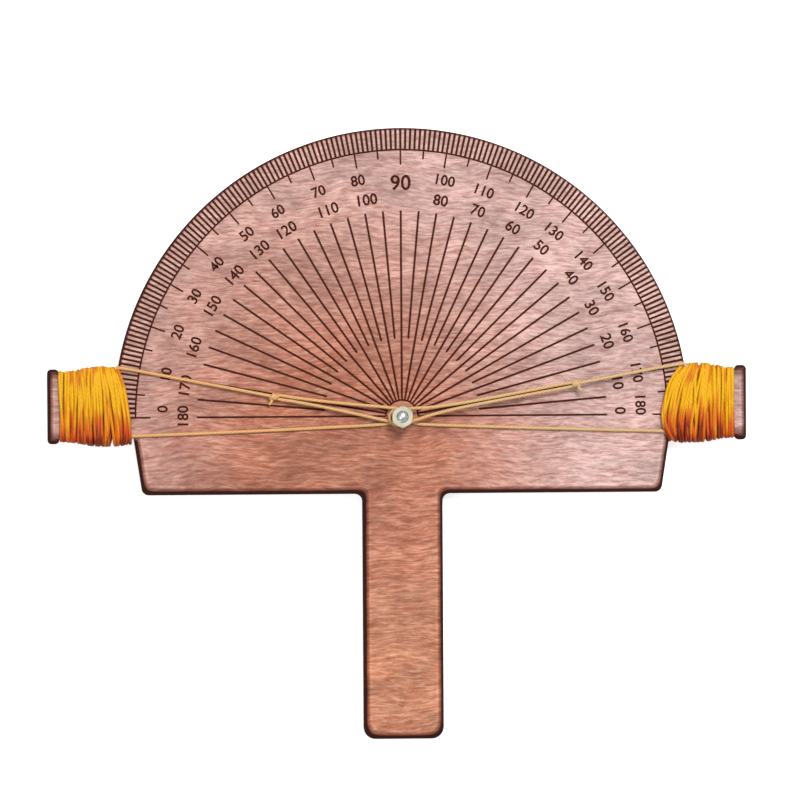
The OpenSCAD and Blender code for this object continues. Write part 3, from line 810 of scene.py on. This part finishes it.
class PROTRACTOR_OT_coils(Operator):
    """The cord wound on each ear, layer on layer"""
    bl_idname = "protractor.coils"
    bl_label = "Coils"

    def execute(self, context):
        s = context.scene.protractor_cord
        # Each layer: where it starts and ends along the ear, its turns, and its share of the build-up. The
        # build-up is the coil's height over the wood along the ear.
        self.coil(s, "left", -1, bow=1.7, tilt=0.13, seed=3, layers=[
            (96.4, 118.2, s.left_turns, 0.0), (118.5, 96.2, 19.0, 0.5), (96.0, 101.0, 5.5, 0.85),
            (101.0, 114.5, 12.5, 0.96), (112.0, 96.0, 13.0, 1.0)],
            build=[(95, 2.3), (98, 2.6), (100.5, 2.9), (104, 3.0), (108, 2.75), (111, 2.0), (114, 1.6),
                   (119, 1.5)])
        self.coil(s, "right", 1, bow=4.6, tilt=0.18, seed=8, layers=[
            (95.6, 115.3, s.right_turns, 0.0), (115.5, 95.2, 17.5, 0.5), (95.0, 101.0, 8.0, 0.85),
            (101.0, 112.0, 9.5, 0.96), (109.0, 95.0, 14.0, 1.0)],
            build=[(94, 2.3), (97, 2.6), (100, 2.95), (105, 2.85), (109, 2.1), (112, 1.6), (116, 1.45)])
        return {"FINISHED"}

    def coil(self, s, side, sign, layers, build, bow, tilt, seed):
        """One coil, in millimetres. x goes out along the ear from the pivot, and t counts the turns."""
        random = np.random.default_rng(seed)
        cord_r = s.cord_d / MM / 2
        root, tip = layers[-1][1], layers[0][1]
        marks, xs, shares = [0.0], [root], [0.0]
        for x0, x1, n, share in layers:
            marks += [marks[-1] + 0.3, marks[-1] + n]
            xs += [x0, x1]
            shares += [share, share]
        total, per_turn = marks[-1], 180
        t = np.linspace(0, total, int(total * per_turn))
        x, share = np.interp(t, marks, xs), np.interp(t, marks, shares)

        def drift(rate, size):
            """A soft random change along the cord, so many values a turn."""
            knots = np.arange(0, total + 2 / rate, 1 / rate)
            values = random.uniform(-1, 1, len(knots))
            u = t * rate
            i = u.astype(int)
            f = (1 - np.cos(np.pi * (u - i))) / 2
            return size * ((1 - f) * values[i] + f * values[i + 1])

        x = x + drift(1.0, 0.2) + share * drift(0.8, 0.6)
        slant = share * drift(1.7, 0.1)
        built = np.interp(x, *zip(*build))
        h = 1.1 * cord_r + (built - 2.1 * cord_r) * share + drift(2.0, 0.04) + share * drift(1.3, 0.06)

        # Round the neck: from the lower edge to the back, the upper edge and the front, where the outer
        # layers belly out.
        neck_corner, belly = 0.9, 0.2 + 0.45 * share
        half_h, half_t = NECK_HALF_H / MM + h, NECK_HALF_T / MM + h
        y, z = self.rounded_box(half_h, half_t, neck_corner + h, t)
        front = np.clip(z / half_t, 0, 1)
        z = z + front * belly * (1 - np.clip(y / half_h, -1, 1) ** 2)

        # Near the root the turns lean, and bow in towards the disc, the outer layers and the front most.
        bow_l, lean_l = 12, 14
        near = np.clip((root + bow_l - x) / bow_l, 0, 1)
        lean = tilt * np.clip((root + 0.7 + lean_l - x) / lean_l, 0, 1) + slant
        bowed = bow * near**1.5 * (0.35 + 0.65 * front) * (0.15 + 0.85 * share)
        x = np.clip(x, root - 0.2, None) + lean * y - bowed * (1 - np.abs(y / half_h) ** 2.6)
        x = np.minimum(x, tip + 0.35)
        # No turn sinks into the floor. The cord's line goes through every fourth point.
        z = np.maximum(NECK_Z / MM + z, 1.12 * cord_r)
        points = np.stack([PIVOT.x + sign * x * MM, EAR_Y + y * MM, z * MM], axis=1)
        line = route(points[::4], COIL_STEP)
        o = twisted_cord(side + "_coil_wound", line, s.cord_d, s.lay, cord_material("coil"), sides=9,
                         reference=(1, 0, 0))
        finish_piece(o, "frame", side + "_coil")

    def rounded_box(self, half_h, half_t, corner, t):
        """Points round a rounded box, t turns from the middle of its lower side, going by the back."""
        flat_h, flat_t = half_h - corner, half_t - corner
        arc_length = corner * np.pi / 2
        d = (t % 1) * 4 * (flat_h + flat_t + arc_length)
        y, z = np.zeros_like(d), np.zeros_like(d)

        def cosine(q):
            return corner * np.cos(q / corner)

        def sine(q):
            return corner * np.sin(q / corner)

        # Sides in order: half the lower side, corner, back, corner, upper side, corner, front, corner, half.
        legs = [
            (flat_t, lambda q: (-half_h + 0 * q, -q)),
            (arc_length, lambda q: (-flat_h - cosine(q), -flat_t - sine(q))),
            (2 * flat_h, lambda q: (-flat_h + q, -half_t + 0 * q)),
            (arc_length, lambda q: (flat_h + sine(q), -flat_t - cosine(q))),
            (2 * flat_t, lambda q: (half_h + 0 * q, -flat_t + q)),
            (arc_length, lambda q: (flat_h + cosine(q), flat_t + sine(q))),
            (2 * flat_h, lambda q: (flat_h - q, half_t + 0 * q)),
            (arc_length, lambda q: (-flat_h - sine(q), flat_t + cosine(q))),
            (flat_t, lambda q: (-half_h + 0 * q, flat_t - q)),
        ]
        begun = np.zeros_like(d)
        for length, leg in legs:
            here = (d >= begun) & (d <= begun + length + 1e-9)
            ly, lz = leg(d - begun)
            y, z = np.where(here, ly, y), np.where(here, lz, z)
            begun = begun + length
        return y, z


class PROTRACTOR_OT_board(Operator):
    """Plywood board with its engraved scale, numbers and burnt edges"""
    bl_idname = "protractor.board"
    bl_label = "Board"

    def execute(self, context):
        s = context.scene.protractor_board
        board = bpy.data.objects.new("plywood_board", frame["nodes"]["board"].data.copy())
        context.scene.collection.objects.link(board)
        weld(board, 0.001 * MM)
        cut(board, self.numbers(s))

        board.data.materials.clear()
        board.data.materials.append(birch_plywood_stained(s))
        board.data.materials.append(laser_engraved_char(s))
        floor_z = FACE_Z - MARK_DEPTH
        for f in board.data.polygons:
            level, upright = f.normal.z > 0.99, abs(f.normal.z) < 0.2
            on_floor = level and abs(f.center.z - floor_z) < 0.02 * MM
            on_wall = upright and f.center.z > floor_z
            f.material_index = 1 if on_floor or on_wall else 0
        smooth(board, math.radians(32))
        finish_piece(board, "frame", "board")
        return {"FINISHED"}

    def numbers(self, s):
        """All the numbers of both rows as one cutting tool."""
        rows = []
        for n in (*range(0, 90, 10), *range(100, 181, 10)):
            outer_turn = math.degrees(OUTER_SHIFTS.get(n, 0) * MM / s.number_r)
            inner_turn = math.degrees(INNER_SHIFTS.get(n, 0) * MM / s.inner_r)
            rows.append((str(n), 180 - n - outer_turn, s.number_r, s.number_h))
            rows.append((str(n), n - inner_turn, s.inner_r, s.inner_h))
        rows.append(("90", 90, s.middle_r, s.middle_h))
        made = [self.number(text, angle, radius, height, s.bolder) for text, angle, radius, height in rows]
        pick(*made)
        bpy.ops.object.join()
        tool = bpy.context.object
        weld(tool)
        return tool

    def number(self, text, angle, radius, height, bolder):
        """One number as a solid, upright on its radius and sunk to the depth of the marks."""
        deselect()
        bpy.ops.object.text_add()
        o = bpy.context.object
        o.data.body, o.data.align_x, o.data.align_y = text, "CENTER", "CENTER"
        o.data.resolution_u = 4
        o.data.offset = bolder / height * CAP_HEIGHT
        bpy.ops.object.convert(target="MESH")
        o = bpy.context.object
        xs, ys = [v.co.x for v in o.data.vertices], [v.co.y for v in o.data.vertices]
        scale = height / (max(ys) - min(ys))
        middle = Vector(((max(xs) + min(xs)) / 2, (max(ys) + min(ys)) / 2, 0))
        o.data.transform(Matrix.Scale(scale, 4) @ Matrix.Translation(-middle))
        pick(o)
        thick = o.modifiers.new("Depth", "SOLIDIFY")
        thick.thickness, thick.offset = 2 * MARK_DEPTH, 0
        bpy.ops.object.modifier_apply(modifier=thick.name)
        a = math.radians(angle)
        o.location = (PIVOT.x + radius * math.cos(a), PIVOT.y + radius * math.sin(a), FACE_Z)
        o.rotation_euler = (0, 0, a - math.pi / 2)
        apply_place(o)
        return o


class PROTRACTOR_OT_metal(Operator):
    """Screw with its thread and socket, washer and nut"""
    bl_idname = "protractor.metal"
    bl_label = "Screw, washer and nut"

    def execute(self, context):
        s = context.scene.protractor_metal
        bright = zinc_plated_steel("zinc_plated_steel", s.zinc)
        # The nut's yellowish colour is its passivation together with a painted reflection of the cords and
        # the wood.
        yellowish = zinc_plated_steel("zinc_plated_steel_passivated", s.passivated)
        for o, node, zinc in ((self.screw(s), "pivot_screw", bright), (self.washer(s), "back_washer", bright),
                              (self.nut(s), "front_nut", yellowish)):
            o.data.materials.clear()
            o.data.materials.append(zinc)
            finish_piece(o, "frame", node)
        return {"FINISHED"}

    def screw(self, s):
        low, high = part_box("pivot_screw")
        head_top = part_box("back_washer")[0].z
        screw_r, head_r = s.screw_d / 2, (high.x - low.x) / 2
        socket_r, socket_depth, head_round = hexagon_r(2.5 * MM), 1.3 * MM, 1.75 * MM
        head = cylinder("pivot_screw_threaded", head_r, low.z, head_top)
        bevel_rim(head, head_r, low.z, head_round, 8, 0.55)
        cut(head, cylinder("socket", socket_r, low.z - MM, low.z + socket_depth, 6))

        # The core, left inside the thread, ends within the dome that rounds the screw's free end.
        core_r, dome_r, dome_h = screw_r - 0.42 * MM, screw_r - 0.06 * MM, 1.25 * MM
        core = cylinder("core", core_r, head_top - 0.1 * MM, high.z - 0.9 * MM)
        deselect()
        bpy.ops.mesh.primitive_uv_sphere_add(segments=72, ring_count=36, radius=dome_r)
        dome = bpy.context.object
        dome.location, dome.scale = (*PIVOT, high.z - dome_h), (1, 1, dome_h / dome_r)
        apply_place(dome)
        cut(head, core, "UNION")
        cut(head, dome, "UNION")

        # The thread's ridge: a flat-topped tooth, wound up from the head to just under the rounded end.
        thread_low, thread_high = head_top + 0.35 * MM, high.z - 1.3 * MM
        root_r = core_r - 0.15 * MM
        tooth = [(root_r, 0.0), (screw_r, 0.27), (screw_r, 0.43), (root_r, 0.7)]
        mesh = bpy.data.meshes.new("thread")
        mesh.from_pydata([(r, 0, thread_low + share * s.pitch) for r, share in tooth],
                         [(0, 1), (1, 2), (2, 3), (3, 0)], [])
        thread = bpy.data.objects.new("thread", mesh)
        bpy.context.scene.collection.objects.link(thread)
        pick(thread)
        wind = thread.modifiers.new("Wind", "SCREW")
        wind.steps = wind.render_steps = 36
        wind.iterations, wind.screw_offset = int((thread_high - thread_low) / s.pitch), s.pitch
        wind.use_merge_vertices = False
        bpy.ops.object.modifier_apply(modifier=wind.name)
        weld(thread)
        edit(thread, lambda: bpy.ops.mesh.fill_holes(sides=6))
        edit(thread, lambda: bpy.ops.mesh.normals_make_consistent(inside=False))
        thread.location = (*PIVOT, 0)
        apply_place(thread)
        cut(head, thread, "UNION")
        smooth(head, math.radians(38))
        return head

    def washer(self, s):
        low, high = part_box("back_washer")
        radius = (high.x - low.x) / 2
        hole_r = s.screw_d / 2 + 0.15 * MM
        o = cylinder("back_washer_stamped", radius, low.z, high.z)
        cut(o, cylinder("hole", hole_r, low.z - MM, high.z + MM))
        # The stamp rounds the edge on one side more than on the other.
        bevel_rim(o, radius, low.z, 0.16 * MM, 3)
        bevel_rim(o, radius, high.z, 0.08 * MM, 2)
        smooth(o, math.radians(40))
        return o

    def nut(self, s):
        low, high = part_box("front_nut")
        corner_r, hole_r, chamfer = hexagon_r(s.nut_w), s.screw_d / 2 + 0.04 * MM, 0.58 * MM
        o = cylinder("front_nut_chamfered", corner_r, low.z, high.z, 6)
        # A turned blank with chamfered rims takes the six corners down.
        blank_r = corner_r + 0.05 * MM
        blank = cylinder("blank", blank_r, low.z, high.z, 96)
        for z in (low.z, high.z):
            bevel_rim(blank, blank_r, z, chamfer, 1)
        cut(o, blank, "INTERSECT")
        cut(o, cylinder("hole", hole_r, low.z - MM, high.z + MM))
        edge = o.modifiers.new("Edge", "BEVEL")
        edge.width, edge.segments = 0.1 * MM, 3
        edge.limit_method, edge.angle_limit = "ANGLE", math.radians(28)
        pick(o)
        bpy.ops.object.modifier_apply(modifier=edge.name)
        smooth(o, math.radians(32))
        return o


def cord_material(kind):
    """The cord's material, made once for the taut runs and once for the coils."""
    s = bpy.context.scene.protractor_cord
    name = {"run": "twisted_polyester_run", "coil": "twisted_polyester_wound"}[kind]
    made = bpy.data.materials.get(name)
    if made:
        return made
    # The fourth value of each kind is the colour of the painted shade in the grooves between the plies.
    axis, low, high, groove, colours = {
        "run": (0, -90 * MM, 90 * MM, (0.84, 0.66, 0.42), ((0.2, s.run_tint), (0.8, s.run_shade))),
        # The coil's stops paint shade: brown red at the foot, red orange low down, golden orange half way and
        # again at the top.
        "coil": (1, EAR_Y - 14 * MM, EAR_Y + 14 * MM, (0.93, 0.82, 0.66), (
            (0.0, s.coil_foot), (0.12, s.coil_low), (0.34, s.coil_warm), (0.52, s.coil_tint),
            (0.9, s.coil_tint), (1.0, s.coil_warm))),
    }[kind]
    stops = [(place, opaque(colour)) for place, colour in colours]
    return twisted_polyester(name, axis, low, high, groove, stops)


class PROTRACTOR_PT_panel(Panel):
    """Lists the steps that build the protractor"""
    bl_idname = "PROTRACTOR_PT_panel"
    bl_label = "String protractor"
    bl_space_type = "VIEW_3D"
    bl_region_type = "UI"
    bl_category = "Protractor"

    def draw(self, context):
        for name in SETTINGS:
            group = getattr(context.scene, name)
            box = self.layout.box()
            for setting in group.bl_rna.properties:
                if setting.identifier not in ("rna_type", "name"):
                    box.prop(group, setting.identifier)
        for step in STEPS:
            self.layout.operator(step.bl_idname)


SETTINGS = {"protractor_stage": StageSettings, "protractor_cord": CordSettings,
            "protractor_board": BoardSettings, "protractor_metal": MetalSettings}
STEPS = (PROTRACTOR_OT_stage, PROTRACTOR_OT_base_cord, PROTRACTOR_OT_strings, PROTRACTOR_OT_coils,
         PROTRACTOR_OT_board, PROTRACTOR_OT_metal)


def register():
    for c in (*SETTINGS.values(), *STEPS, PROTRACTOR_PT_panel):
        bpy.utils.register_class(c)
    for name, group in SETTINGS.items():
        setattr(bpy.types.Scene, name, PointerProperty(type=group))


def unregister():
    for name in SETTINGS:
        delattr(bpy.types.Scene, name)
    for c in reversed((*SETTINGS.values(), *STEPS, PROTRACTOR_PT_panel)):
        bpy.utils.unregister_class(c)


def main():
    register()
    for step in STEPS:
        group, name = step.bl_idname.split(".")
        getattr(getattr(bpy.ops, group), name)()


if __name__ == "__main__":
    main()
